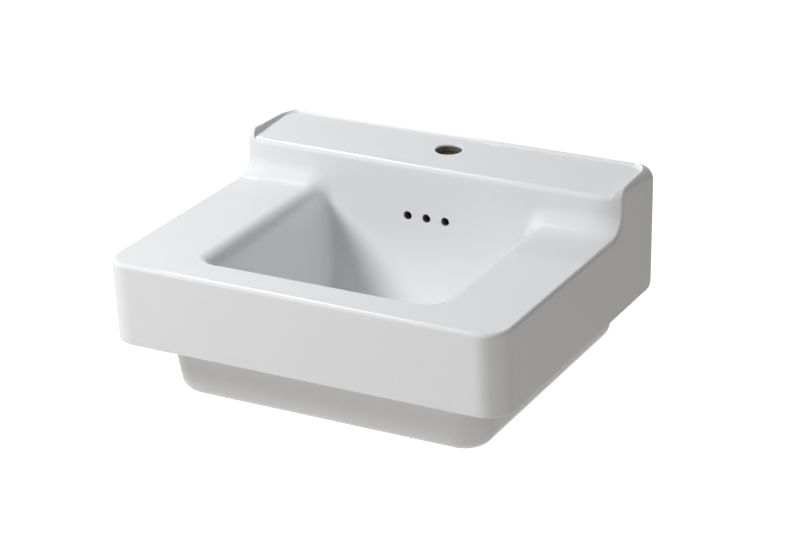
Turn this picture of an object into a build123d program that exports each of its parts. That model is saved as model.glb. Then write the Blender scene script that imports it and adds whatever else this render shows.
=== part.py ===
from build123d import *
from math import cos, radians, sin, sqrt, tan
import os

os.makedirs("parts", exist_ok=True)

# Wall-hung bathroom sink in one glazed china casting, with its wall fixings and its push-open waste.
# Millimetres. X runs along the front, Y goes into the wall (wall face at Y = 0), Z is up.
# Z = 0 is the flat top of the rim, the front of the sink is at Y = -depth.

# China casting, outside
width = 538
depth = 457
crest_z = 57
apron_height = 109
front_lean = 7.0
front_corner_r = 34
edge_r = 5
fine_edge_r = 1.5
apron_back_round_r = 11
wall_t = 11

# Deck at the back: straight in the middle, eased back near its ends, dished between two low end lips
deck_front_y = -110
deck_return = 41
deck_ease_r = 85
deck_scoop_r = 25
deck_crest_r = 14
deck_end_rounds = [(-84, 5), (-60, 8.5), (-35, 10.5), (-15, 14.5), (1, 20)]
deck_floor_back_z = 53.5
deck_floor_front_z = 48.5
deck_edge_r = 7
deck_lip_w = 6.5
deck_lip_back_w = 3
deck_lip_corner_r = 22
deck_lip_lean = 30
deck_lip_soft = 1.2
deck_lip_soft_lean = 62
deck_hollow_inset = 4
deck_ease_step = 16
deck_ease_hollow_z = 10

# Tub under the apron
tub_z = -191
tub_half = 214
tub_half_top = 224
tub_front_y = -396
tub_front_top_y = -406
tub_corner_r = 40
tub_edge_r = 22
tub_back_round_r = 36
tub_end_y = -6
tub_floor_end_y = -112
tub_overlap = 4

# Bowl: upright at the top, then leaning walls; the back wall bends forward to the floor
bowl_half = 152
bowl_front_y = -406
bowl_floor_z = -150
bowl_back_corner_r = 16
bowl_front_corner_r = 22
bowl_side_roll = 20
bowl_front_roll = 3
bowl_side_lean = 6.2
bowl_front_lean = 7.5
bowl_ease_r = 200
bowl_back_bend_z = -35
bowl_back_bend_r = 180
bowl_back_lean = 35
bowl_floor_r = 14
bowl_floor_t = 15

# Drain
drain_y = -245
drain_seat_z = -157
drain_hole_r = 22.5
drain_boss_r = 42
drain_fall_r = 72
drain_seat_step = 2
flange_r = 31.5
flange_gap = 1.0

# Tap hole and overflow
tap_y = -43
tap_hole_r = 17.5
tap_lip_r = 1.5
overflow_z = -22
overflow_hole_r = 5.6
overflow_lip_r = 1.2
overflow_pitch = 27
overflow_half = 38
overflow_gap = 12
overflow_wall = 8
overflow_top_z = -12
overflow_bend_z = -110
overflow_feed_y = -130
overflow_feed_half = 16
overflow_feed_z = -173
overflow_feed_height = 8
overflow_draw = 24
gallery_front_y = -190
gallery_bowl_y = -150
feed_block_y = -120

# Back panel and wall fixings
panel_back_y = -8
panel_t = 11
panel_foot_z = -98
panel_arch_half = 196
panel_arch_z = -46
panel_arch_r = 20
panel_arch_depth = 80
window_x = 120
window_half = 26
window_top_z = 6
window_height = 26
window_corner_r = 4
hanger_half = 165
hanger_top_z = 16
hanger_height = 52
hanger_t = 2.5
hanger_corner_r = 5
hanger_bend_r = 2
hook_half = 22
hook_lip = 12
hook_gap = 2.0
screw_r = 3.0
screw_head_r = 6.5
screw_head_t = 3.2
screw_length = 50
screw_gap = 1.25
screw_ease = 1.4
screw_point = 2.2
recess_span = 7
recess_w = 1.5
recess_depth = 1.6
hanger_screw_x = 152
hanger_screw_low_z = -26
hanger_screw_high_z = 6
anchor_inset = 35
anchor_z = -76
anchor_r = 4.0
anchor_hole_r = 5.5
anchor_pad_r = 15
anchor_head_r = 7.5
anchor_head_t = 5.3
anchor_ease = 0.8
anchor_point = 2.5
washer_r = 12
washer_t = 1.6
cushion_t = 2.0

# Waste
tube_r = 20.5
tube_bore_r = 17.8
tube_bottom_z = -232
flange_t = 2.6
seal_t = 2.0
throat_r = 21.2
throat_drop = 1.0
gasket_r = 33
gasket_t = 8
slip_r = 31
slip_t = 1.6
nut_r = 33
nut_t = 11
fit_gap = 0.15
run_gap = 0.08
clip_r = 6.0
clip_t = 2.5
tail_r = 15.875
tail_t = 1.25
tail_bottom_z = -256
tail_top_z = -214
tail_collar_t = 3.0
tail_seal_t = 1.6
window_w = 14
window_low_z = -178
window_high_z = -166
cap_r = 24.0
cap_t = 4.0
cap_seal_t = 2.4
cap_seal_r = 19.0
lift = 9.0
stem_r = 4.0
guide_r = 8.0
bridge_z = -193
bridge_t = 8
spring_wire_r = 0.6
spring_turns = 6

# How far a cutting block reaches past the china, how deep a rounding cut bites into the air beside it,
# and how near an edge lies to the place where it is looked for
past = 20
bite = 2
near = 0.1


def front_y(z):
    """The front face leans: it stands further out at the top."""
    return -depth - front_lean * z / apron_height


def on_circle(centre, r, angle):
    """Point on a circle, angle in degrees from the first axis."""
    return (centre[0] + r * cos(radians(angle)), centre[1] + r * sin(radians(angle)))


anchor_x = width / 2 - anchor_inset
anchor_places = [(-anchor_x, anchor_z), (anchor_x, anchor_z)]

# Plan of the deck's front edge: a straight line, then an arc back towards each end
deck_straight = width / 2 - deck_return
ease_x = width / 2 + 30
ease_y = deck_front_y + deck_ease_r - sqrt(deck_ease_r**2 - (ease_x - deck_straight) ** 2)
ease_mid = on_circle((deck_straight, deck_front_y + deck_ease_r), deck_ease_r, -70)


def deck_front_line(far_y):
    """Outline that follows the deck's front edge and closes at far_y."""
    ThreePointArc((-ease_x, ease_y), (-ease_mid[0], ease_mid[1]), (-deck_straight, deck_front_y))
    Line((-deck_straight, deck_front_y), (deck_straight, deck_front_y))
    ThreePointArc((deck_straight, deck_front_y), ease_mid, (ease_x, ease_y))
    Polyline((ease_x, ease_y), (ease_x, far_y), (-ease_x, far_y), (-ease_x, ease_y))


# China casting: the air above the rim, with the scoop that joins rim and deck
with BuildPart() as rim_air:
    with BuildSketch():
        with BuildLine():
            deck_front_line(-depth - past)
        make_face()
    extrude(amount=crest_z + past)
    low_edges = rim_air.edges().filter_by_position(Axis.Z, -near, near)
    fillet(low_edges.filter_by(lambda e: e.center().Y > deck_front_y - near), deck_scoop_r)

# Core of the deck between the end lips: its tilted top and the rounded front edge
deck_slope = (deck_floor_back_z - deck_floor_front_z) / -deck_front_y
floor_tilt = Plane(origin=(0, 0, deck_floor_back_z), x_dir=(1, 0, 0), z_dir=(0, -deck_slope, 1))

with BuildPart() as deck_core:
    with BuildSketch(Plane.XY.offset(deck_scoop_r)):
        with BuildLine():
            deck_front_line(past)
        make_face()
    extrude(amount=crest_z)
    split(bisect_by=floor_tilt, keep=Keep.BOTTOM)
    top_edges = deck_core.faces().sort_by(Axis.Z)[-1].edges()
    fillet(top_edges.filter_by(lambda e: e.center().Y < deck_front_y / 2), deck_edge_r)

# Air in the dish: leaning walls with a softened top, the core left standing
dish_front_y = deck_front_y - past


def dish_outline(sketch, z):
    """The dish at height z, where its wall leans outwards up to the crest."""
    drawn_in = (crest_z - z) * tan(radians(deck_lip_lean))
    side = width / 2 - deck_lip_w - drawn_in
    back_y = -deck_lip_back_w - drawn_in
    with Locations((0, (dish_front_y + back_y) / 2)):
        Rectangle(2 * side, back_y - dish_front_y)
    fillet(sketch.vertices().sort_by(Axis.Y)[-2:], deck_lip_corner_r - drawn_in)


dish_low_z = deck_floor_front_z - deck_edge_r - 5
dish_soft_z = crest_z - deck_lip_soft
with BuildPart() as deck_air:
    with BuildSketch(Plane.XY.offset(dish_low_z)) as dish_low:
        dish_outline(dish_low, dish_low_z)
    extrude(amount=crest_z - dish_low_z + 5, taper=-deck_lip_lean)
    with BuildSketch(Plane.XY.offset(dish_soft_z)) as dish_soft:
        dish_outline(dish_soft, dish_soft_z)
    extrude(amount=5, taper=-deck_lip_soft_lean)
    add(deck_core.part, mode=Mode.SUBTRACT)

# Bowl below its rolled edge, as side view and front view; t moves the walls outwards for the skin
bowl_back_y = deck_front_y
bowl_roll_z = -bowl_side_roll
back_centre = (bowl_back_y - bowl_back_bend_r, bowl_back_bend_z)
front_centre = (bowl_front_y + bowl_ease_r, bowl_roll_z)
side_centre = (bowl_half - bowl_ease_r, bowl_roll_z)


def bowl_side_view(t, top_z, low_z):
    """Outline in Y and Z of the bowl, its walls moved out by t."""
    back_r = bowl_back_bend_r + t
    back_low = on_circle(back_centre, back_r, -bowl_back_lean)
    front_r = bowl_ease_r + t
    front_low = on_circle(front_centre, front_r, 180 + bowl_front_lean)
    Polyline(
        (front_centre[0] - front_r, bowl_roll_z),
        (front_centre[0] - front_r, top_z),
        (back_centre[0] + back_r, top_z),
        (back_centre[0] + back_r, bowl_back_bend_z),
    )
    ThreePointArc(
        (back_centre[0] + back_r, bowl_back_bend_z),
        on_circle(back_centre, back_r, -bowl_back_lean / 2),
        back_low,
    )
    Polyline(
        back_low,
        (back_low[0] - (back_low[1] - low_z) * tan(radians(bowl_back_lean)), low_z),
        (front_low[0] + (front_low[1] - low_z) * tan(radians(bowl_front_lean)), low_z),
        front_low,
    )
    ThreePointArc(
        front_low,
        on_circle(front_centre, front_r, 180 + bowl_front_lean / 2),
        (front_centre[0] - front_r, bowl_roll_z),
    )


def bowl_front_view(t, top_z, low_z):
    """Outline in X and Z of the bowl's right half, its wall moved out by t."""
    side_r = bowl_ease_r + t
    side_low = on_circle(side_centre, side_r, -bowl_side_lean)
    Polyline(
        side_low,
        (side_low[0] - (side_low[1] - low_z) * tan(radians(bowl_side_lean)), low_z),
        (-1, low_z),
        (-1, top_z),
        (side_centre[0] + side_r, top_z),
        (side_centre[0] + side_r, bowl_roll_z),
    )
    ThreePointArc(
        (side_centre[0] + side_r, bowl_roll_z),
        on_circle(side_centre, side_r, -bowl_side_lean / 2),
        side_low,
    )


def corners(block):
    """Edges of a block that run up and down at its corners."""
    outer_edges = block.edges().filter_by(lambda e: abs(e.center().X) > bowl_half / 2)
    return outer_edges.filter_by(lambda e: abs(e.tangent_at(0.5).Z) > 0.7)


def front_corners(block):
    return corners(block).filter_by(lambda e: e.center().Y < drain_y)


def back_corners(block):
    return corners(block).filter_by(lambda e: e.center().Y > drain_y)


with BuildPart() as bowl_air:
    with BuildSketch(Plane.YZ):
        with BuildLine():
            bowl_side_view(0, deck_scoop_r, bowl_floor_z)
        make_face()
    extrude(amount=bowl_half + past, both=True)
    with BuildSketch(Plane.XZ):
        with BuildLine():
            bowl_front_view(0, deck_scoop_r, bowl_floor_z)
        make_face()
        mirror(about=Plane.YZ)
    extrude(amount=depth, mode=Mode.INTERSECT)
    fillet(front_corners(bowl_air), bowl_front_corner_r)
    fillet(back_corners(bowl_air), bowl_back_corner_r)
    floor_edges = bowl_air.edges().filter_by_position(Axis.Z, bowl_floor_z - near, bowl_floor_z + near)
    fillet(floor_edges, bowl_floor_r)
    split(bisect_by=Plane.XY.offset(bowl_roll_z), keep=Keep.BOTTOM)

# Mouth of the bowl: upright, square at the back where the corner fillets are added later
corner_x = bowl_half - bowl_front_corner_r
corner_y = bowl_front_y + bowl_front_corner_r
mouth_top_z = deck_scoop_r + bite
with BuildPart() as bowl_mouth:
    with BuildSketch(Plane.XY.offset(bowl_roll_z)) as mouth:
        with Locations((0, (bowl_front_y + bowl_back_y) / 2)):
            Rectangle(2 * bowl_half, bowl_back_y - bowl_front_y)
        fillet(mouth.vertices().sort_by(Axis.Y)[:2], bowl_front_corner_r)
    extrude(amount=mouth_top_z - bowl_roll_z)


def roll_section(r, top=bite):
    """Air cut off a square edge at the origin, so that a round of radius r is left."""
    Polyline((0, -r), (-bite, -r), (-bite, top), (r, top), (r, 0))
    ThreePointArc((r, 0), (r - r * cos(radians(45)), -r + r * sin(radians(45))), (0, -r))


# Rolled edge: full along the sides, fading out round the front corners
corner_rolls = [
    (0, bowl_side_roll),
    (30, 0.7 * bowl_side_roll),
    (60, 2.5 * bowl_front_roll),
    (90, bowl_front_roll),
]

with BuildPart() as side_roll:
    with BuildSketch(Plane(origin=(bowl_half, corner_y, 0), x_dir=(1, 0, 0), z_dir=(0, -1, 0))):
        with BuildLine():
            roll_section(bowl_side_roll, mouth_top_z)
        make_face()
    extrude(amount=bowl_back_y - corner_y, dir=(0, 1, 0))

with BuildPart() as corner_roll:
    for angle, r in corner_rolls:
        c = cos(radians(angle))
        s = sin(radians(angle))
        ridge = (corner_x + bowl_front_corner_r * c, corner_y - bowl_front_corner_r * s, 0)
        with BuildSketch(Plane(origin=ridge, x_dir=(c, -s, 0), z_dir=(-s, -c, 0))):
            with BuildLine():
                roll_section(r)
            make_face()
    loft()

with BuildPart() as front_roll:
    with BuildSketch(Plane(origin=(-corner_x, bowl_front_y, 0), x_dir=(0, -1, 0), z_dir=(-1, 0, 0))):
        with BuildLine():
            roll_section(bowl_front_roll)
        make_face()
    extrude(amount=2 * corner_x, dir=(1, 0, 0))

with BuildPart() as roll:
    add(side_roll.part)
    add(corner_roll.part)
    mirror(about=Plane.YZ)
    add(front_roll.part)

# Back corners of the mouth: a concave fillet that turns about the centre line of the rolled side
# and grows from the bowl's corner radius to the radius of the scoop
filler_steps = 4
with BuildPart() as corner_filler:
    for step in range(filler_steps + 1):
        share = step / filler_steps
        angle = 90 * share
        r = bowl_back_corner_r + (deck_scoop_r - bowl_back_corner_r) * share**2 * (3 - 2 * share)
        outwards = (-cos(radians(angle)), 0, sin(radians(angle)))
        centre = (bowl_half + bowl_side_roll, bowl_back_y, bowl_roll_z)
        across = (-sin(radians(angle)), 0, -cos(radians(angle)))
        with BuildSketch(Plane(origin=centre, x_dir=outwards, z_dir=across)):
            inner = bowl_side_roll
            with BuildLine():
                Polyline(
                    (inner, -r),
                    (inner - bite, -r),
                    (inner - bite, bite),
                    (inner + r, bite),
                    (inner + r, 0),
                )
                ThreePointArc((inner + r, 0), on_circle((inner + r, -r), r, 135), (inner, -r))
            make_face()
    loft()
    mirror(about=Plane.YZ)

# Skin of the bowl, one wall thickness further out
with BuildPart() as bowl_skin:
    with BuildSketch(Plane.YZ):
        with BuildLine():
            bowl_side_view(wall_t, crest_z, bowl_floor_z - bowl_floor_t)
        make_face()
    extrude(amount=bowl_half + wall_t + past, both=True)
    with BuildSketch(Plane.XZ):
        with BuildLine():
            bowl_front_view(wall_t, crest_z, bowl_floor_z - bowl_floor_t)
        make_face()
        mirror(about=Plane.YZ)
    extrude(amount=depth, mode=Mode.INTERSECT)
    fillet(front_corners(bowl_skin), bowl_front_corner_r + wall_t)
    fillet(back_corners(bowl_skin), bowl_back_corner_r)


def tub_block(inset, far_y):
    """Tub prism with leaning front and sides, drawn in by inset, from just inside the apron, up to far_y."""
    low_z = tub_z + inset
    high_z = inset + tub_overlap - apron_height
    with BuildSketch(Plane.YZ) as side_view:
        Polygon(
            (tub_front_y + inset, low_z),
            (tub_front_top_y + inset, high_z),
            (far_y, high_z),
            (far_y, low_z),
            align=None,
        )
    extrude(side_view.sketch, amount=tub_half_top + past, both=True)
    with BuildSketch(Plane.XZ.offset(-far_y - bite)) as front_view:
        Polygon(
            (-tub_half + inset, low_z),
            (-tub_half_top + inset, high_z),
            (tub_half_top - inset, high_z),
            (tub_half - inset, low_z),
            align=None,
        )
    extrude(front_view.sketch, amount=depth + past, mode=Mode.INTERSECT)


with BuildPart() as tub:
    tub_block(0, tub_end_y)
    fillet(front_corners(tub), tub_corner_r)
    under = tub.edges().filter_by_position(Axis.Z, tub_z - near, tub_z + near)
    fillet(under.filter_by(lambda e: e.center().Y < tub_end_y - near), tub_edge_r)
    with BuildSketch(Plane.YZ):
        with BuildLine():
            round_centre = (tub_end_y - tub_back_round_r, tub_z + tub_back_round_r)
            Polyline(
                (round_centre[0], tub_z),
                (round_centre[0], tub_z - bite),
                (tub_end_y + bite, tub_z - bite),
                (tub_end_y + bite, round_centre[1]),
                (tub_end_y, round_centre[1]),
            )
            ThreePointArc(
                (tub_end_y, round_centre[1]),
                on_circle(round_centre, tub_back_round_r, -45),
                (round_centre[0], tub_z),
            )
        make_face()
    extrude(amount=width / 2, both=True, mode=Mode.SUBTRACT)

with BuildPart() as tub_hollow:
    tub_block(wall_t, past)
    fillet(front_corners(tub_hollow), tub_corner_r - wall_t)
    under = tub_hollow.edges().filter_by_position(Axis.Z, tub_z + wall_t - near, tub_z + wall_t + near)
    fillet(under.filter_by(lambda e: e.center().Y < 0), tub_edge_r - wall_t)

# Hollow between the skins, open towards the wall
scoop_back_y = deck_front_y + wall_t
scoop_start_y = deck_front_y - deck_scoop_r
eased_back_y = scoop_back_y + deck_ease_step
eased_start_y = scoop_back_y - 5
hollow_back_y = 10
with BuildPart() as hollow:
    with BuildSketch(Plane.YZ):
        Polygon(
            (hollow_back_y, -apron_height + wall_t),
            (front_y(-apron_height) + wall_t, -apron_height + wall_t),
            (front_y(-wall_t) + wall_t, -wall_t),
            (hollow_back_y, -wall_t),
            align=None,
        )
    extrude(amount=width / 2 - wall_t, both=True)
    fillet(front_corners(hollow), front_corner_r - wall_t)

    # Under the deck: first its straight middle, then its full width, further back where the front is eased
    with BuildSketch(Plane.YZ):
        with BuildLine():
            Polyline(
                (hollow_back_y, -wall_t - bite),
                (hollow_back_y, deck_floor_back_z - wall_t),
                (scoop_back_y, deck_floor_front_z - wall_t),
                (scoop_back_y, deck_scoop_r),
            )
            RadiusArc((scoop_back_y, deck_scoop_r), (scoop_start_y, -wall_t), deck_scoop_r + wall_t)
            Polyline(
                (scoop_start_y, -wall_t),
                (scoop_start_y, -wall_t - bite),
                (hollow_back_y, -wall_t - bite),
            )
        make_face()
    extrude(amount=deck_straight - deck_hollow_inset, both=True)
    with BuildSketch(Plane.YZ):
        Polygon(
            (hollow_back_y, -wall_t - bite),
            (hollow_back_y, deck_floor_back_z - wall_t),
            (eased_back_y, deck_floor_front_z - wall_t),
            (eased_back_y, deck_ease_hollow_z),
            (eased_start_y, -wall_t),
            (eased_start_y, -wall_t - bite),
            align=None,
        )
    extrude(amount=width / 2 - wall_t, both=True)
    add(tub_hollow.part)
    add(bowl_skin.part, mode=Mode.SUBTRACT)

# Overflow: a gallery behind the bowl that runs down and forwards into the drain, and the channel in it
channel_back_y = bowl_back_y + wall_t + overflow_gap
gallery_back_y = channel_back_y + overflow_wall
gallery_top_z = overflow_top_z + overflow_wall
feed_top_z = overflow_feed_z + overflow_feed_height / 2
feed_low_z = overflow_feed_z - overflow_feed_height / 2
gallery_low_z = tub_z + wall_t - 1
with BuildPart() as gallery:
    with BuildSketch(Plane.YZ):
        Polygon(
            (bowl_back_y + 4, gallery_top_z),
            (gallery_back_y, gallery_top_z),
            (gallery_back_y, overflow_bend_z + 2),
            (gallery_back_y - overflow_draw - 2, gallery_low_z),
            (gallery_front_y, gallery_low_z),
            (gallery_front_y, bowl_floor_z - 2),
            (gallery_bowl_y, bowl_floor_z - 2),
            align=None,
        )
    extrude(amount=overflow_half + overflow_wall, both=True)
    with BuildSketch(Plane.YZ):
        with Locations(((drain_y + feed_block_y) / 2, (drain_seat_z + gallery_low_z) / 2)):
            Rectangle(feed_block_y - drain_y, drain_seat_z - gallery_low_z)
    extrude(amount=overflow_feed_half + overflow_wall, both=True)

with BuildPart() as channel:
    with BuildSketch(Plane.YZ):
        Polygon(
            (bowl_back_y + wall_t, overflow_top_z),
            (channel_back_y, overflow_top_z),
            (channel_back_y, overflow_bend_z),
            (channel_back_y - overflow_draw, feed_low_z),
            (overflow_feed_y, feed_low_z),
            (overflow_feed_y, feed_top_z),
            (bowl_back_y + wall_t, overflow_bend_z - 2),
            align=None,
        )
    extrude(amount=overflow_half, both=True)
    with BuildSketch(Plane.YZ):
        with Locations(((drain_y + overflow_feed_y) / 2, overflow_feed_z)):
            Rectangle(overflow_feed_y - drain_y, overflow_feed_height)
    extrude(amount=overflow_feed_half, both=True)

# Rounded ends of the deck's top: small at the front edge, large at the wall
with BuildPart() as deck_end_air:
    for y, r in deck_end_rounds:
        with BuildSketch(Plane(origin=(width / 2, y, crest_z), x_dir=(-1, 0, 0), z_dir=(0, 1, 0))):
            with BuildLine():
                roll_section(r)
            make_face()
    loft()
    mirror(about=Plane.YZ)

with BuildPart() as basin:
    with BuildSketch(Plane.YZ):
        with BuildLine():
            round_centre = (-apron_back_round_r, -apron_height + apron_back_round_r)
            Polyline(
                (0, round_centre[1]),
                (0, crest_z),
                (front_y(crest_z), crest_z),
                (front_y(-apron_height), -apron_height),
                (round_centre[0], -apron_height),
            )
            ThreePointArc(
                (round_centre[0], -apron_height),
                on_circle(round_centre, apron_back_round_r, -45),
                (0, round_centre[1]),
            )
        make_face()
    extrude(amount=width / 2, both=True)
    fillet(front_corners(basin), front_corner_r)
    add(rim_air.part, mode=Mode.SUBTRACT)
    crest = basin.edges().filter_by_position(Axis.Z, crest_z - near, crest_z + near)
    fillet(crest.filter_by(lambda e: e.center().Y < deck_front_y / 2), deck_crest_r)
    outer = basin.edges().filter_by(lambda e: e.center().Z > -near and e.center().Y < -near)
    rim_front = outer.filter_by(lambda e: e.center().Y < -depth + front_corner_r)
    rim_sides = outer.filter_by(lambda e: abs(e.center().X) > width / 2 - near)
    fillet(rim_front + rim_sides, edge_r)
    add(deck_end_air.part, mode=Mode.SUBTRACT)

    # One chain of fine edges: the back outline and, past the rounded foot of the back, the apron's bottom
    fine = basin.edges().filter_by(lambda e: e.center().Y > -near and e.center().Z > round_centre[1] + near)
    fillet(fine, fine_edge_r)
    add(deck_air.part, mode=Mode.SUBTRACT)
    add(tub.part)

    # Hollow inside, and the tub open behind the bowl
    add(hollow.part, mode=Mode.SUBTRACT)
    with BuildSketch(Plane.XY.offset(tub_z - 1)):
        with Locations((0, tub_floor_end_y / 2)):
            Rectangle(2 * (tub_half - wall_t - 1), -tub_floor_end_y)
    extrude(amount=tub_edge_r + 1, mode=Mode.SUBTRACT)

    # Back panel with its pads, the overflow gallery and the boss of the drain
    panel_top_z = deck_floor_front_z - 5
    with BuildSketch(Plane.XZ.offset(-panel_back_y)):
        with Locations((0, (panel_top_z + panel_foot_z) / 2)):
            Rectangle(width - 2 * wall_t + bite, panel_top_z - panel_foot_z)
        with Locations((0, panel_arch_z - panel_arch_depth / 2)):
            RectangleRounded(2 * panel_arch_half, panel_arch_depth, panel_arch_r, mode=Mode.SUBTRACT)
        with Locations((0, panel_arch_z - panel_arch_depth)):
            Rectangle(2 * panel_arch_half, panel_arch_depth, mode=Mode.SUBTRACT)
    extrude(amount=panel_t)
    with BuildSketch(Plane.XZ.offset(-panel_back_y + panel_t)):
        with Locations(*anchor_places):
            Circle(anchor_pad_r)
    extrude(amount=panel_back_y - panel_t)
    add(gallery.part)
    with BuildSketch(Plane.XY.offset(tub_z + 1)):
        with Locations((0, drain_y)):
            Circle(drain_boss_r)
    extrude(amount=drain_seat_z - tub_z)

    # Bowl, its rolled edge and its fall to the drain
    add(bowl_air.part, mode=Mode.SUBTRACT)
    add(bowl_mouth.part, mode=Mode.SUBTRACT)
    add(roll.part, mode=Mode.SUBTRACT)
    add(corner_filler.part)
    with BuildSketch(Plane.XZ.offset(-drain_y)):
        Polygon(
            (0, drain_seat_z),
            (flange_r + flange_gap, drain_seat_z),
            (flange_r + flange_gap, drain_seat_z + drain_seat_step),
            (drain_fall_r, bowl_floor_z),
            (drain_fall_r, bowl_floor_z + near),
            (0, bowl_floor_z + near),
            align=None,
        )
    revolve(axis=Axis((0, drain_y, 0), (0, 0, 1)), mode=Mode.SUBTRACT)

    # Overflow holes and channel, drain hole, tap hole, hanger windows and anchor holes
    add(channel.part, mode=Mode.SUBTRACT)
    with BuildSketch(Plane.XZ.offset(-bowl_back_y - wall_t - bite)):
        with Locations((-overflow_pitch, overflow_z), (0, overflow_z), (overflow_pitch, overflow_z)):
            Circle(overflow_hole_r)
    extrude(amount=wall_t + 2 * bite, mode=Mode.SUBTRACT)
    rings = basin.edges().filter_by(GeomType.CIRCLE)
    overflow_rings = rings.filter_by(lambda e: abs(e.radius - overflow_hole_r) < near)
    fillet(overflow_rings.filter_by(lambda e: abs(e.arc_center.Y - bowl_back_y) < near), overflow_lip_r)
    with BuildSketch(Plane.XY.offset(tub_z - bite)):
        with Locations((0, drain_y)):
            Circle(drain_hole_r)
    extrude(amount=bowl_floor_z - tub_z, mode=Mode.SUBTRACT)
    with BuildSketch(Plane.XY.offset(crest_z)):
        with Locations((0, tap_y)):
            Circle(tap_hole_r)
    extrude(amount=deck_floor_front_z - crest_z - wall_t - bite, mode=Mode.SUBTRACT)
    tap_centre = Vector(0, tap_y, deck_floor_back_z)
    lip = basin.edges().filter_by(lambda e: (e.center(CenterOf.MASS) - tap_centre).length < wall_t / 2)
    fillet(lip, tap_lip_r)
    window_z = window_top_z - window_height / 2
    with BuildSketch(Plane.XZ.offset(-panel_back_y - bite)):
        with Locations((-window_x, window_z), (window_x, window_z)):
            RectangleRounded(2 * window_half, window_height, window_corner_r)
    extrude(amount=panel_t + 2 * bite, mode=Mode.SUBTRACT)
    with BuildSketch(Plane.XZ.offset(-bite)):
        with Locations(*anchor_places):
            Circle(anchor_hole_r)
    extrude(amount=panel_t - panel_back_y + 2 * bite, mode=Mode.SUBTRACT)
basin.part.label = "basin"
export_step(basin.part, "parts/basin.step")

# Wall hanger: a plate flat on the wall with two hooks that carry the top edges of the windows
hook_out_y = panel_back_y - panel_t - hook_gap
hook_bend_y = hook_out_y - hanger_t
hook_low_z = window_top_z - hanger_t
hanger_holes = [
    (-hanger_screw_x, hanger_screw_low_z),
    (hanger_screw_x, hanger_screw_low_z),
    (-hanger_screw_x, hanger_screw_high_z),
    (hanger_screw_x, hanger_screw_high_z),
]
with BuildPart() as wall_hanger:
    with BuildSketch(Plane.XZ):
        with Locations((0, hanger_top_z - hanger_height / 2)):
            RectangleRounded(2 * hanger_half, hanger_height, hanger_corner_r)
        with Locations(*hanger_holes):
            Circle(screw_r + screw_gap, mode=Mode.SUBTRACT)
    extrude(amount=hanger_t)
    for x in (-window_x, window_x):
        with BuildSketch(Plane.YZ.offset(x)):
            Polygon(
                (-hanger_t / 2, hook_low_z),
                (hook_bend_y, hook_low_z),
                (hook_bend_y, window_top_z + hook_lip),
                (hook_out_y, window_top_z + hook_lip),
                (hook_out_y, window_top_z),
                (-hanger_t / 2, window_top_z),
                align=None,
            )
        extrude(amount=hook_half, both=True)
    bends = wall_hanger.edges().filter_by_position(Axis.Y, hook_bend_y - near, hook_bend_y + near)
    fillet(bends.filter_by_position(Axis.Z, hook_low_z - near, hook_low_z + near), hanger_bend_r)
wall_hanger.part.label = "wall_hanger"
export_step(wall_hanger.part, "parts/wall_hanger.step")

with BuildPart() as hanger_screws:
    with BuildSketch(Plane.XZ.offset(hanger_t)):
        with Locations(*hanger_holes):
            Circle(screw_head_r)
    extrude(amount=screw_head_t)
    chamfer(hanger_screws.faces().sort_by(Axis.Y)[:4].edges(), screw_ease)
    with BuildSketch(Plane.XZ.offset(hanger_t + 0.5)):
        with Locations(*hanger_holes):
            Circle(screw_r)
    extrude(amount=-screw_length)
    with BuildSketch(Plane.XZ.offset(hanger_t + screw_head_t)):
        with Locations(*hanger_holes):
            Rectangle(recess_span, recess_w)
            Rectangle(recess_w, recess_span)
    extrude(amount=-recess_depth, mode=Mode.SUBTRACT)
    chamfer(hanger_screws.faces().sort_by(Axis.Y)[-4:].edges(), screw_point)
hanger_screws.part.label = "hanger_screws"
export_step(hanger_screws.part, "parts/hanger_screws.step")

# Lower anchors through the pads of the back panel
pad_y = panel_back_y - panel_t
with BuildPart() as anchor_cushions:
    with BuildSketch(Plane.XZ.offset(-pad_y)):
        with Locations(*anchor_places):
            Circle(washer_r)
            Circle(anchor_r + screw_gap, mode=Mode.SUBTRACT)
    extrude(amount=cushion_t)
anchor_cushions.part.label = "anchor_cushions"
export_step(anchor_cushions.part, "parts/anchor_cushions.step")

with BuildPart() as anchor_washers:
    with BuildSketch(Plane.XZ.offset(-pad_y + cushion_t)):
        with Locations(*anchor_places):
            Circle(washer_r)
            Circle(anchor_r + screw_gap, mode=Mode.SUBTRACT)
    extrude(amount=washer_t)
anchor_washers.part.label = "anchor_washers"
export_step(anchor_washers.part, "parts/anchor_washers.step")

with BuildPart() as anchor_screws:
    head_y = -pad_y + cushion_t + washer_t
    with BuildSketch(Plane.XZ.offset(head_y)):
        with Locations(*anchor_places):
            RegularPolygon(anchor_head_r, 6)
    extrude(amount=anchor_head_t)
    chamfer(anchor_screws.faces().sort_by(Axis.Y)[:2].edges(), anchor_ease)
    with BuildSketch(Plane.XZ.offset(head_y + 0.5)):
        with Locations(*anchor_places):
            Circle(anchor_r)
    extrude(amount=-head_y - screw_length + hanger_t)
    chamfer(anchor_screws.faces().sort_by(Axis.Y)[-2:].edges(), anchor_point)
anchor_screws.part.label = "anchor_screws"
export_step(anchor_screws.part, "parts/anchor_screws.step")

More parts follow.
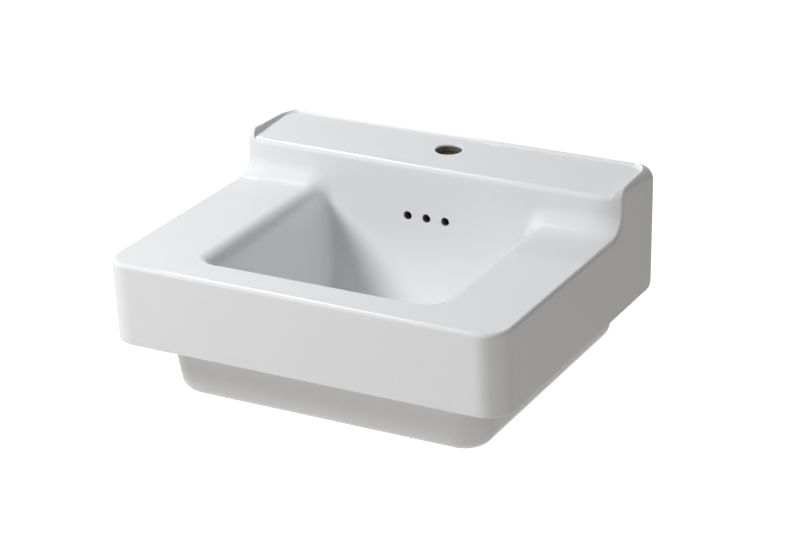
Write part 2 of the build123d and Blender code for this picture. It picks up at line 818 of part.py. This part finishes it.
# Waste body: flange on the drain seat and a threaded tube through the boss
drain_axis = Axis((0, drain_y, 0), (0, 0, 1))
flange_low_z = drain_seat_z + seal_t
flange_top_z = flange_low_z + flange_t
with BuildPart() as waste_body:
    with BuildSketch(Plane.XZ.offset(-drain_y)):
        Polygon(
            (throat_r, flange_top_z),
            (flange_r - 1.2, flange_top_z - 0.6),
            (flange_r, flange_low_z + 0.8),
            (flange_r, flange_low_z),
            (tube_r, flange_low_z),
            (tube_r, tube_bottom_z + 1),
            (tube_r - 1, tube_bottom_z),
            (tail_r + fit_gap, tube_bottom_z),
            (tail_r + fit_gap, tail_top_z),
            (tail_r - 1.6, tail_top_z),
            (tail_r - 1.6, bridge_z),
            (tube_bore_r, bridge_z),
            (tube_bore_r, flange_low_z - throat_drop),
            align=None,
        )
    revolve(axis=drain_axis)
    with BuildSketch(Plane.XZ.offset(-drain_y - 40)):
        with Locations((0, (window_low_z + window_high_z) / 2)):
            SlotOverall(window_w, window_high_z - window_low_z - 2)
    extrude(amount=80, mode=Mode.SUBTRACT)
waste_body.part.label = "waste_body"
export_step(waste_body.part, "parts/waste_body.step")

with BuildPart() as flange_seal:
    with BuildSketch(Plane.XZ.offset(-drain_y)):
        Polygon(
            (tube_r + fit_gap, drain_seat_z),
            (flange_r - 1, drain_seat_z),
            (flange_r - 1, drain_seat_z + seal_t),
            (tube_r + fit_gap, drain_seat_z + seal_t),
            align=None,
        )
    revolve(axis=drain_axis)
flange_seal.part.label = "flange_seal"
export_step(flange_seal.part, "parts/flange_seal.step")

with BuildPart() as waste_gasket:
    with BuildSketch(Plane.XZ.offset(-drain_y)):
        Polygon(
            (tube_r + fit_gap, tub_z + 6),
            (drain_hole_r - 0.6, tub_z + 6),
            (drain_hole_r - 0.2, tub_z),
            (gasket_r, tub_z),
            (gasket_r, tub_z - 3),
            (gasket_r - 5, tub_z - gasket_t),
            (tube_r + fit_gap, tub_z - gasket_t),
            align=None,
        )
    revolve(axis=drain_axis)
waste_gasket.part.label = "waste_gasket"
export_step(waste_gasket.part, "parts/waste_gasket.step")

with BuildPart() as friction_washer:
    with BuildSketch(Plane.XY.offset(tub_z - gasket_t - slip_t)):
        with Locations((0, drain_y)):
            Circle(slip_r)
            Circle(tube_r + fit_gap, mode=Mode.SUBTRACT)
    extrude(amount=slip_t)
friction_washer.part.label = "friction_washer"
export_step(friction_washer.part, "parts/friction_washer.step")

with BuildPart() as waste_locknut:
    nut_top_z = tub_z - gasket_t - slip_t
    with BuildSketch(Plane.XY.offset(nut_top_z - nut_t)):
        with Locations((0, drain_y)):
            Circle(nut_r - 4)
            RegularPolygon(nut_r, 8)
            Circle(tube_r + fit_gap, mode=Mode.SUBTRACT)
    extrude(amount=nut_t)
    with BuildSketch(Plane.XY.offset(nut_top_z - nut_t)):
        with Locations((0, drain_y)):
            Circle(nut_r - 5)
            Circle(tube_r + fit_gap, mode=Mode.SUBTRACT)
    extrude(amount=-3)
waste_locknut.part.label = "waste_locknut"
export_step(waste_locknut.part, "parts/waste_locknut.step")

# Tailpiece screwed up into the waste body, with its ring seal
with BuildPart() as tailpiece:
    with BuildSketch(Plane.XZ.offset(-drain_y)):
        Polygon(
            (tail_r - tail_t, tail_top_z - tail_seal_t),
            (tail_r, tail_top_z - tail_seal_t),
            (tail_r, tube_bottom_z),
            (tail_r + 3.4, tube_bottom_z),
            (tail_r + 3.4, tube_bottom_z - tail_collar_t),
            (tail_r, tube_bottom_z - tail_collar_t),
            (tail_r, tail_bottom_z),
            (tail_r - tail_t, tail_bottom_z),
            align=None,
        )
    revolve(axis=drain_axis)
tailpiece.part.label = "tailpiece"
export_step(tailpiece.part, "parts/tailpiece.step")

with BuildPart() as tailpiece_seal:
    with BuildSketch(Plane.XY.offset(tail_top_z - tail_seal_t)):
        with Locations((0, drain_y)):
            Circle(tail_r)
            Circle(tail_r - 1.5, mode=Mode.SUBTRACT)
    extrude(amount=tail_seal_t)
tailpiece_seal.part.label = "tailpiece_seal"
export_step(tailpiece_seal.part, "parts/tailpiece_seal.step")

# Push-open stopper, drawn open: cap with its ring, stem, bridge that guides the stem, spring
cap_low_z = flange_top_z + 0.3 + lift
with BuildPart() as stopper_cap:
    with BuildSketch(Plane.XZ.offset(-drain_y)):
        Polygon(
            (0, cap_low_z + 1.5),
            (stem_r - 1.5, cap_low_z + 1.5),
            (stem_r - 1.5, cap_low_z),
            (cap_r - 0.5, cap_low_z),
            (cap_r, cap_low_z + 0.5),
            (cap_r, cap_low_z + 1.3),
            (cap_r - 1.2, cap_low_z + 2.3),
            (cap_r * 0.8, cap_low_z + 3.1),
            (cap_r * 0.5, cap_low_z + cap_t - 0.3),
            (0, cap_low_z + cap_t),
            align=None,
        )
    revolve(axis=drain_axis)
stopper_cap.part.label = "stopper_cap"
export_step(stopper_cap.part, "parts/stopper_cap.step")

with BuildPart() as stopper_seal:
    with BuildSketch(Plane.XY.offset(cap_low_z - cap_seal_t)):
        with Locations((0, drain_y)):
            Circle(cap_seal_r)
            Circle(stem_r + 5, mode=Mode.SUBTRACT)
    extrude(amount=cap_seal_t)
stopper_seal.part.label = "stopper_seal"
export_step(stopper_seal.part, "parts/stopper_seal.step")

with BuildPart() as stopper_stem:
    with BuildSketch(Plane.XZ.offset(-drain_y)):
        Polygon(
            (0, cap_low_z + 1.5),
            (stem_r - 1.5, cap_low_z + 1.5),
            (stem_r - 1.5, cap_low_z),
            (stem_r + 5, cap_low_z),
            (stem_r + 5, cap_low_z - cap_seal_t),
            (tube_bore_r - 3, cap_low_z - cap_seal_t),
            (tube_bore_r - 3, cap_low_z - cap_seal_t - 1.5),
            (stem_r, cap_low_z - cap_seal_t - 1.5),
            (stem_r, bridge_z),
            (clip_r, bridge_z),
            (clip_r, bridge_z - clip_t),
            (stem_r, bridge_z - clip_t),
            (stem_r, bridge_z - 8),
            (0, bridge_z - 8),
            align=None,
        )
    revolve(axis=drain_axis)
stopper_stem.part.label = "stopper_stem"
export_step(stopper_stem.part, "parts/stopper_stem.step")

with BuildPart() as cartridge_housing:
    with BuildSketch(Plane.XY.offset(bridge_z)):
        with Locations((0, drain_y)):
            Circle(tube_bore_r - fit_gap)
            Circle(tube_bore_r - 2.4, mode=Mode.SUBTRACT)
            Rectangle(2 * tube_bore_r - 3, 4)
            Rectangle(4, 2 * tube_bore_r - 3)
            Circle(guide_r)
            Circle(stem_r + run_gap, mode=Mode.SUBTRACT)
    extrude(amount=bridge_t)
cartridge_housing.part.label = "cartridge_housing"
export_step(cartridge_housing.part, "parts/cartridge_housing.step")

spring_low_z = bridge_z + bridge_t
spring_high_z = cap_low_z - cap_seal_t - 1.5
spring_r = stem_r + 2
spring_pitch = (spring_high_z - spring_low_z - 2 * spring_wire_r) / spring_turns
with BuildPart() as cartridge_spring:
    with BuildLine():
        Helix(
            pitch=spring_pitch,
            height=spring_turns * spring_pitch,
            radius=spring_r,
            center=(0, drain_y, spring_low_z + spring_wire_r),
        )
    spring_start = (spring_r, drain_y, spring_low_z + spring_wire_r)
    with BuildSketch(Plane(origin=spring_start, x_dir=(1, 0, 0), z_dir=(0, 1, 0))):
        RegularPolygon(spring_wire_r, 6)
    sweep(is_frenet=True)
cartridge_spring.part.label = "cartridge_spring"
export_step(cartridge_spring.part, "parts/cartridge_spring.step")
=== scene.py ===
# %% [markdown]
# # A wall-hung bathroom sink
# The sink is one glazed china casting that hangs on a steel bracket, with a push-open waste in its bowl.
# Its shapes come ready from the CAD model, apart from the spring in the waste. So this lesson is mostly
# about what china, raw clay, chrome, rubber and steel look like, and about the light that shows them.
# Everything is in metres: X along the front, Y into the wall, Z up. The flat top of the rim is at Z = 0, and
# the face of the wall is at Y = 0.

# %% Load the frame
import math

import bpy
from mathutils import Matrix, Vector


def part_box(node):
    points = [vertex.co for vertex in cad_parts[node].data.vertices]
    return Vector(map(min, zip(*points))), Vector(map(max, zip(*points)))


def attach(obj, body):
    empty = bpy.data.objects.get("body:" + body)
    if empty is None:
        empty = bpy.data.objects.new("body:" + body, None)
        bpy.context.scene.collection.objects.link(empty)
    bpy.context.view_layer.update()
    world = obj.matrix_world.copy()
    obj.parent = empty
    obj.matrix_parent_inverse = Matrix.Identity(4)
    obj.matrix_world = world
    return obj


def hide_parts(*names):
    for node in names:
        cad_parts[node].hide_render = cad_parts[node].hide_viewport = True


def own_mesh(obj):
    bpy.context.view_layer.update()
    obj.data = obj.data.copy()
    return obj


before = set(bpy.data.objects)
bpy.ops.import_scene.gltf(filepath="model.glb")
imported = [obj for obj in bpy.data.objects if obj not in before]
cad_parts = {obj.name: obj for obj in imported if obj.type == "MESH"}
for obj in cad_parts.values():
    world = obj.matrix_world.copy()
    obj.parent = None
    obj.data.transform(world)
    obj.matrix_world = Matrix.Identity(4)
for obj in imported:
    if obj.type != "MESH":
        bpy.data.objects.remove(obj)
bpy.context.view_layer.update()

# %% [markdown]
# ## The camera
# The photograph was taken with a long lens from the sink's right front, a little above the rim. A long lens
# keeps the two sides of the sink nearly parallel. The camera is placed by its turn, height and distance
# from a point inside the bowl, and a very small roll levels it the way it was held.

# %% Camera
LOOK_AT = Vector((0.0082, -0.200, -0.0603))
TURN = math.radians(27.71)
RISE = math.radians(22.53)
ROLL = math.radians(-0.80)
DISTANCE = 3.255
LENS = 115.74
SENSOR_WIDTH = 36.0
SEES_AS_FAR_AS = 50.0


def place_camera(name, look_at, turn, rise, roll, distance, lens):
    back = Vector((math.sin(turn) * math.cos(rise), -math.cos(turn) * math.cos(rise), math.sin(rise)))
    right = Vector((0, 0, 1)).cross(back).normalized()
    up = back.cross(right)
    rolled_right = right * math.cos(roll) + up * math.sin(roll)
    rolled_up = up * math.cos(roll) - right * math.sin(roll)
    data = bpy.data.cameras.new(name)
    data.lens = lens
    data.sensor_width = SENSOR_WIDTH
    data.clip_end = SEES_AS_FAR_AS
    camera = bpy.data.objects.new(name, data)
    bpy.context.scene.collection.objects.link(camera)
    turned = Matrix((rolled_right, rolled_up, back)).transposed().to_4x4()
    camera.matrix_world = Matrix.Translation(look_at + back * distance) @ turned
    return camera


camera = place_camera("photo_camera", LOOK_AT, TURN, RISE, ROLL, DISTANCE, LENS)
bpy.context.scene.camera = camera
print("camera at", [round(v, 3) for v in camera.location])

# %% [markdown]
# ## Writing shaders as sums
# A material is a net of nodes. Adding each node by hand hides the idea, so one small class wraps a socket
# and lets `a * b + c` add the Math nodes. `over` and `under` turn a measure into a mask: 1 on one side of
# an edge, 0 on the other, with a soft step between. `spread` turns a mask or a noise, which runs from 0 to
# 1, into a value that runs from one number to another. Anything that isn't plain maths comes from one
# method that takes the node's type, its settings and what goes into its sockets.


# %% A socket that does maths
class Wire:
    def __init__(self, tree, socket):
        self.tree = tree
        self.socket = socket

    def maths(self, operation, other, flipped=False):
        node = self.tree.nodes.new("ShaderNodeMath")
        node.operation = operation
        pair = (other, self) if flipped else (self, other)
        for slot, value in zip(node.inputs, pair):
            if isinstance(value, Wire):
                self.tree.links.new(value.socket, slot)
            else:
                slot.default_value = value
        return Wire(self.tree, node.outputs[0])

    def __add__(self, other):
        return self.maths("ADD", other)

    __radd__ = __add__

    def __mul__(self, other):
        return self.maths("MULTIPLY", other)

    __rmul__ = __mul__

    def __sub__(self, other):
        return self.maths("SUBTRACT", other)

    def __rsub__(self, other):
        return self.maths("SUBTRACT", other, flipped=True)

    def clamped(self):
        return self.maths("MAXIMUM", 0.0).maths("MINIMUM", 1.0)

    def over(self, edge, soft):
        return ((self - edge) * (1.0 / soft)).clamped()

    def under(self, edge, soft):
        return ((edge - self) * (1.0 / soft)).clamped()

    def spread(self, low, high):
        return self * (high - low) + low


# %% [markdown]
# A Mix node carries sockets for numbers, vectors and colours side by side, and they share their names. So
# its colour sockets are picked by number.

# %% A material and its nodes
MIX_AMOUNT = 0
MIX_LOW_COLOUR = 6
MIX_HIGH_COLOUR = 7
MIX_RESULT = 2


class Finish:
    def __init__(self, name, **settings):
        self.material = bpy.data.materials.new(name)
        self.material.use_nodes = True
        self.tree = self.material.node_tree
        self.shader = self.tree.nodes["Principled BSDF"]
        for socket, value in settings.items():
            self.shader.inputs[socket.replace("_", " ")].default_value = value

    def node(self, kind, settings=None, sockets=None, output=0):
        made = self.tree.nodes.new(kind)
        for key, value in (settings or {}).items():
            setattr(made, key, value)
        for key, value in (sockets or {}).items():
            slot = made.inputs[key]
            if isinstance(value, Wire):
                self.tree.links.new(value.socket, slot)
            else:
                slot.default_value = value
        return Wire(self.tree, made.outputs[output])

    def feed(self, socket, wire):
        self.tree.links.new(wire.socket, self.shader.inputs[socket])

    def place(self):
        return self.node("ShaderNodeTexCoord", output="Object")

    def axes(self):
        split = self.node("ShaderNodeSeparateXYZ", sockets={"Vector": self.place()}).socket.node
        return [Wire(self.tree, socket) for socket in split.outputs]

    def mottle(self, scale, detail=2.0):
        sockets = {"Vector": self.place(), "Scale": scale, "Detail": detail}
        return self.node("ShaderNodeTexNoise", sockets=sockets)

    def between(self, amount, low, high):
        ends = [colour if isinstance(colour, Wire) else (*colour, 1) for colour in (low, high)]
        sockets = {MIX_AMOUNT: amount, MIX_LOW_COLOUR: ends[0], MIX_HIGH_COLOUR: ends[1]}
        return self.node("ShaderNodeMix", {"data_type": "RGBA"}, sockets, MIX_RESULT)

    def bump(self, height, strength, distance):
        sockets = {"Height": height, "Strength": strength, "Distance": distance}
        self.feed("Normal", self.node("ShaderNodeBump", sockets=sockets))


def dress(finish, *nodes):
    for name in nodes:
        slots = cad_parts[name].data.materials
        slots.clear()
        slots.append(finish.material)
    print(finish.material.name, "on", ", ".join(nodes))


# %% [markdown]
# ## Glazed china
# The body is fired clay under a thick white glaze. The glaze is glass, so it is a clear smooth layer with
# sharp reflections, and the white comes from below it. A real glaze is never quite flat: it flowed in the
# kiln, which leaves a very long, very low ripple that bends the reflections a little. Its white is a touch
# uneven too.

# %% China: glaze
GLAZE_SHADED = (0.832, 0.842, 0.864)
GLAZE_BRIGHT = (0.856, 0.864, 0.882)
china = Finish("glazed_china", IOR=1.5)
glaze_white = china.between(china.mottle(scale=5.0), GLAZE_SHADED, GLAZE_BRIGHT)
glaze_gloss = china.mottle(scale=14.0).spread(0.10, 0.14)
glaze_ripple = china.mottle(scale=9.0, detail=0.0)
print("glaze between", GLAZE_SHADED, "and", GLAZE_BRIGHT)

# %% [markdown]
# ## Raw clay inside the casting
# Glaze is sprayed on what can be seen and cleaned. The hollow behind the back panel gets none, so it shows
# the fired body: cream, dull and a little gritty. The bores of the tap hole and of the overflow holes lie
# in their own shade. That shade is painted into them as a near-black clay colour, so that they read as dark
# dots in the white. Both are found by position. The bores are what lies near their axes. Distances are
# compared by their squares there, which spares a square root, so the soft steps of the bores are in square
# metres. The hollow is what lies in two boxes a little inside the outer faces: one for the apron, and one
# whose sides lean with the tub.

# %% China: where the bores are
TAP_Y = -0.043
TAP_BORE = 0.0180
TAP_BORE_SOFT = 0.00002
TAP_LIP_Z = 0.0498
TAP_LIP_SOFT = 0.0008
OVERFLOW_PLACES = (-1, 0, 1)
OVERFLOW_PITCH = 0.027
OVERFLOW_Z = -0.022
OVERFLOW_BORE = 0.0059
OVERFLOW_BORE_SOFT = 0.000004
OVERFLOW_LIP_Y = -0.1090
OVERFLOW_LIP_SOFT = 0.0006

x, y, z = china.axes()
to_tap_y = y - TAP_Y
tap_square = x * x + to_tap_y * to_tap_y
bores = tap_square.under(TAP_BORE**2, TAP_BORE_SOFT) * z.under(TAP_LIP_Z, TAP_LIP_SOFT)
to_hole_z = z - OVERFLOW_Z
for place in OVERFLOW_PLACES:
    to_hole_x = x - place * OVERFLOW_PITCH
    hole_square = to_hole_x * to_hole_x + to_hole_z * to_hole_z
    hole_bore = hole_square.under(OVERFLOW_BORE**2, OVERFLOW_BORE_SOFT)
    hole_bore = hole_bore * y.over(OVERFLOW_LIP_Y, OVERFLOW_LIP_SOFT)
    bores = bores.maths("MAXIMUM", hole_bore)
print("bores:", 1 + len(OVERFLOW_PLACES))

# %% China: where the raw clay is
HOLLOW_FRONT_Y = -0.0985
HOLLOW_HALF = 0.2588
HOLLOW_TOP_Z = 0.0440
HOLLOW_SOFT = 0.001
APRON_END_Z = -0.1085
APRON_END_SOFT = 0.0005
TUB_LEAN = 0.121
TUB_HALF = 0.2331
TUB_BOTTOM_Z = -0.1860

from_middle = x.maths("ABSOLUTE", 0.0)
in_apron = from_middle.under(HOLLOW_HALF, HOLLOW_SOFT) * z.under(HOLLOW_TOP_Z, HOLLOW_SOFT)
in_apron = in_apron * z.over(APRON_END_Z, APRON_END_SOFT)
in_tub = (from_middle - z * TUB_LEAN).under(TUB_HALF, HOLLOW_SOFT)
in_tub = in_tub * z.under(APRON_END_Z, APRON_END_SOFT) * z.over(TUB_BOTTOM_Z, HOLLOW_SOFT)
in_hollow = y.over(HOLLOW_FRONT_Y, HOLLOW_SOFT) * (in_apron + in_tub)
raw = in_hollow.maths("MAXIMUM", bores)
print("raw clay behind y", HOLLOW_FRONT_Y, "and down to z", TUB_BOTTOM_Z)

# %% China: put together
CLAY_DARK = (0.56, 0.50, 0.42)
CLAY_PALE = (0.66, 0.61, 0.53)
# Painted shade: the bores get these near-black clay colours in place of the shade that lies inside them.
PAINTED_BORE_SHADE_DARK = (0.030, 0.020, 0.016)
PAINTED_BORE_SHADE_PALE = (0.060, 0.040, 0.030)
CLAY_ROUGHNESS = 0.85
GRIT_HEIGHT = 0.2

grit = china.mottle(scale=700.0, detail=3.0)
clay = china.between(china.mottle(scale=35.0), CLAY_DARK, CLAY_PALE)
# The painted shade of the bores, mottled by the grit.
painted_bore_shade = china.between(grit, PAINTED_BORE_SHADE_DARK, PAINTED_BORE_SHADE_PALE)
# Cream raw clay in the hollow, and painted shade in the bores.
body = china.between(bores, clay, painted_bore_shade)
china.feed("Base Color", china.between(raw, glaze_white, body))
china.feed("Roughness", glaze_gloss * (1.0 - raw) + raw * CLAY_ROUGHNESS)
china.bump(glaze_ripple * (1.0 - raw) + grit * raw * GRIT_HEIGHT, strength=0.10, distance=0.002)
dress(china, "basin")

# %% [markdown]
# ## Zinc-coated steel
# The hanger, screws and washers are zinc-plated: a pale cool grey with a soft, slightly cloudy gloss.

# %% Steel material
ZINC_DARK = (0.52, 0.53, 0.55)
ZINC_PALE = (0.66, 0.67, 0.68)
steel = Finish("zinc_steel", Metallic=1.0)
spangle = steel.mottle(scale=120.0, detail=3.0)
steel.feed("Base Color", steel.between(spangle, ZINC_DARK, ZINC_PALE))
steel.feed("Roughness", spangle.spread(0.28, 0.48))
steel.bump(spangle, strength=0.05, distance=0.0005)
dress(steel, "wall_hanger", "hanger_screws", "anchor_screws", "anchor_washers")

# %% [markdown]
# ## Rubber seals
# The rings are black moulded rubber: dark, dull, with a faint grain from the mould and some pale dust.

# %% Rubber material
RUBBER_BLACK = (0.020, 0.020, 0.021)
RUBBER_DUSTY = (0.045, 0.044, 0.042)
rubber = Finish("black_rubber")
grain = rubber.mottle(scale=900.0, detail=4.0)
rubber.feed("Base Color", rubber.between(rubber.mottle(scale=60.0), RUBBER_BLACK, RUBBER_DUSTY))
rubber.feed("Roughness", grain.spread(0.55, 0.75))
rubber.bump(grain, strength=0.15, distance=0.0003)
dress(rubber, "anchor_cushions", "flange_seal", "waste_gasket", "tailpiece_seal", "stopper_seal")

# %% [markdown]
# ## Chrome
# The flange, the cap and the tail tube are polished chrome on brass. Chrome is a nearly perfect mirror, so
# most of its look comes from what stands around it. Light handling marks show only in its roughness.

# %% Chrome material
CHROME_DARK = (0.60, 0.61, 0.63)
CHROME_PALE = (0.68, 0.69, 0.70)
chrome = Finish("polished_chrome", Metallic=1.0)
chrome.feed("Base Color", chrome.between(chrome.mottle(scale=40.0), CHROME_DARK, CHROME_PALE))
chrome.feed("Roughness", chrome.mottle(scale=70.0, detail=5.0).spread(0.04, 0.13))
dress(chrome, "waste_body", "tailpiece", "stopper_cap")

# %% [markdown]
# ## Brass, plastic and spring wire
# The big nut and the stem are bare turned brass, so fine rings run round them: a sine of the height makes
# the rings. The slip washer and the bridge are white nylon with a soft gloss. The spring is drawn steel
# wire, darker than the plated steel.

# %% Brass material
BRASS_DARK = (0.60, 0.43, 0.18)
BRASS_PALE = (0.72, 0.55, 0.28)
RING_TURNS = 9000.0
brass = Finish("turned_brass", Metallic=1.0)
rings = (brass.axes()[2] * RING_TURNS).maths("SINE", 0.0) * 0.5 + 0.5
brass.feed("Base Color", brass.between(brass.mottle(scale=60.0), BRASS_DARK, BRASS_PALE))
brass.feed("Roughness", brass.mottle(scale=90.0).spread(0.22, 0.37))
brass.bump(rings, strength=0.12, distance=0.0002)
dress(brass, "waste_locknut", "stopper_stem")

# %% Plastic material
NYLON_DARK = (0.74, 0.74, 0.71)
NYLON_PALE = (0.80, 0.80, 0.78)
nylon = Finish("white_nylon")
nylon.feed("Base Color", nylon.between(nylon.mottle(scale=80.0), NYLON_DARK, NYLON_PALE))
nylon.feed("Roughness", nylon.mottle(scale=300.0).spread(0.38, 0.53))
dress(nylon, "friction_washer", "cartridge_housing")

# %% Spring material
WIRE_DARK = (0.36, 0.36, 0.37)
WIRE_PALE = (0.52, 0.52, 0.53)
wire_steel = Finish("spring_wire", Metallic=1.0)
wire_steel.feed("Base Color", wire_steel.between(wire_steel.mottle(scale=200.0), WIRE_DARK, WIRE_PALE))
wire_steel.feed("Roughness", wire_steel.mottle(scale=300.0).spread(0.25, 0.40))
print(wire_steel.material.name, "waits for the coil below")

# %% [markdown]
# ## The spring, wound again
# A spring has to shorten when the stopper is pressed, and a rigid CAD node can't. So the coil is wound here
# once more, of round wire on the same helix, as a mesh of its own. A curve with a bevel would wind it too,
# but only a mesh can be squashed. A coil is two circles: one that the wire follows while it climbs, and one
# around the wire.

# %% Spring coil
SPRING_TURNS = 6
WIRE_RADIUS = 0.0006
STEPS_PER_TURN = 28
WIRE_SIDES = 10


def wind_spring(name, low, high, turns, wire):
    middle = (low + high) / 2
    radius = (high.x - low.x) / 2 - wire
    climb = high.z - low.z - 2 * wire
    slope = climb / (turns * 2 * math.pi * radius)
    steps = turns * STEPS_PER_TURN
    points = []
    for step in range(steps + 1):
        turn = 2 * math.pi * turns * step / steps
        outward = Vector((math.cos(turn), math.sin(turn), 0))
        along = Vector((-math.sin(turn), math.cos(turn), slope)).normalized()
        upward = outward.cross(along)
        centre = Vector((middle.x, middle.y, low.z + wire + climb * step / steps)) + outward * radius
        for side in range(WIRE_SIDES):
            angle = 2 * math.pi * side / WIRE_SIDES
            points.append(centre + outward * (wire * math.cos(angle)) + upward * (wire * math.sin(angle)))
    faces = []
    for step in range(steps):
        for side in range(WIRE_SIDES):
            after = (side + 1) % WIRE_SIDES
            ring = step * WIRE_SIDES
            faces.append((ring + side, ring + WIRE_SIDES + side, ring + WIRE_SIDES + after, ring + after))
    faces.append(tuple(range(WIRE_SIDES)))
    faces.append(tuple(range(steps * WIRE_SIDES, (steps + 1) * WIRE_SIDES))[::-1])
    mesh = bpy.data.meshes.new(name)
    mesh.from_pydata(points, [], faces)
    mesh.shade_smooth()
    made = bpy.data.objects.new(name, mesh)
    bpy.context.scene.collection.objects.link(made)
    return made


spring_low, spring_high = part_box("cartridge_spring")
spring = wind_spring("spring_coil", spring_low, spring_high, SPRING_TURNS, WIRE_RADIUS)
spring.data.materials.append(wire_steel.material)
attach(spring, "sink")
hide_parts("cartridge_spring")
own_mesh(spring)

# %% [markdown]
# ## The room
# The sink hangs at its real height, so the floor is more than three quarters of a metre below the rim. The
# floor is pale and plain, a little warm, and it warms the underside of the sink. A white page behind the
# sink must not put more light on it, so the floor glows for the camera alone and, more weakly, in
# reflections. The lamps light the floor most near the sink, so the glow is weaker there and full further
# out.

# %% Floor
FLOOR_Z = -0.86
FLOOR_HALF = 14.0
FLOOR_DARK = (0.82, 0.79, 0.74)
FLOOR_PALE = (0.84, 0.81, 0.76)
NEAR_GLOW = 0.75
FULL_GLOW = 1.0
MIRRORED_GLOW = 0.55
NEAR_FLOOR = 1.2
FAR_FLOOR = 3.0


def make_floor(half):
    mesh = bpy.data.meshes.new("floor")
    corners = [(-half, -half, FLOOR_Z), (half, -half, FLOOR_Z), (half, half, FLOOR_Z), (-half, half, FLOOR_Z)]
    mesh.from_pydata(corners, [], [(0, 1, 2, 3)])
    floor = bpy.data.objects.new("floor", mesh)
    bpy.context.scene.collection.objects.link(floor)
    return floor


floor = make_floor(FLOOR_HALF)
pale = Finish("pale_floor", Roughness=0.9, Specular_IOR_Level=0.1, Emission_Strength=1.0)
pale.feed("Base Color", pale.between(pale.mottle(scale=0.7), FLOOR_DARK, FLOOR_PALE))
floor_seen = pale.node("ShaderNodeLightPath", output="Is Camera Ray")
floor_mirrored = pale.node("ShaderNodeLightPath", output="Is Glossy Ray")
floor_x, floor_y = pale.axes()[:2]
far = (floor_x * floor_x + floor_y * floor_y).over(NEAR_FLOOR**2, FAR_FLOOR**2 - NEAR_FLOOR**2)
glow = floor_seen * far.spread(NEAR_GLOW, FULL_GLOW) + floor_mirrored * MIRRORED_GLOW
glow_colour = pale.node("ShaderNodeCombineColor", sockets={"Red": glow, "Green": glow, "Blue": glow})
pale.feed("Emission Color", glow_colour)
floor.data.materials.append(pale.material)
print("floor at", FLOOR_Z, "glows", NEAR_GLOW, "near the sink and", FULL_GLOW, "far from it")

# %% [markdown]
# ## The light
# White china is lit from one side, so that its planes separate: the top and the front are bright, the right
# side falls off to grey, and the left wall of the bowl throws a soft shadow down across its back wall. One
# big soft lamp stands high at the left front. It would leave a glaring patch in every hollow curve of the
# glaze, so it is kept out of the reflections, as a polarising filter would do it. A narrow cool strip hangs
# high behind the sink at the left. It brightens the tops, and it is rolled, so that its reflection lies
# along the front edge of the deck as a thin white line. Two weak fills lift what is left: one low in front,
# and a warm one at the right. The white surroundings show to the camera and in reflections, and light the
# sink very little.

# %% World
ROOM_LEVEL = 0.02
SEEN_LEVEL = 1.0
world = bpy.data.worlds.new("studio")
bpy.context.scene.world = world
world.use_nodes = True
sky = world.node_tree.nodes["Background"]
rays = world.node_tree.nodes.new("ShaderNodeLightPath")
seen_by_camera = Wire(world.node_tree, rays.outputs["Is Camera Ray"])
seen_in_gloss = Wire(world.node_tree, rays.outputs["Is Glossy Ray"])
level = seen_by_camera.maths("MAXIMUM", seen_in_gloss).spread(ROOM_LEVEL, SEEN_LEVEL)
world.node_tree.links.new(level.socket, sky.inputs["Strength"])
sky.inputs["Color"].default_value = (1, 1, 1, 1)
print("surroundings light the sink at", ROOM_LEVEL, "and show at", SEEN_LEVEL)

# %% Lamps
LIT_POINT = Vector((0, -0.25, -0.05))
NEUTRAL = (1.0, 1.0, 1.0)
COOL = (0.94, 0.97, 1.0)
WARM = (1.0, 0.98, 0.94)
SMALL_LAMP = (0.8, 0.8)
WIDE_LAMP = (1.0, 1.0)
STRIP_LAMP = (0.37, 2.6)
STRIP_ROLL = math.radians(-30)


def soft_lamp(name, place, size, power, colour, in_reflections=False, roll=0.0):
    data = bpy.data.lights.new(name, "AREA")
    data.shape = "RECTANGLE"
    data.size, data.size_y = size
    data.energy = power
    data.color = colour
    lamp = bpy.data.objects.new(name, data)
    bpy.context.scene.collection.objects.link(lamp)
    lamp.location = Vector(place)
    lamp.rotation_euler = (LIT_POINT - lamp.location).to_track_quat("-Z", "Y").to_euler()
    lamp.rotation_euler.rotate_axis("Z", roll)
    lamp.visible_glossy = in_reflections
    print(name, "at", place, "power", power)


soft_lamp("key_left_front", (-1.57, -1.58, 1.52), SMALL_LAMP, power=55, colour=NEUTRAL)
soft_lamp("edge_strip", (-1.33, 0.85, 2.11), STRIP_LAMP, power=22.0, colour=COOL, in_reflections=True,
          roll=STRIP_ROLL)
soft_lamp("fill_front", (0.40, -2.00, -0.10), SMALL_LAMP, power=4.2, colour=NEUTRAL)
soft_lamp("fill_right", (2.10, -0.90, 1.40), WIDE_LAMP, power=10.5, colour=WARM)

# %% Colour
bpy.context.scene.view_settings.view_transform = "Standard"
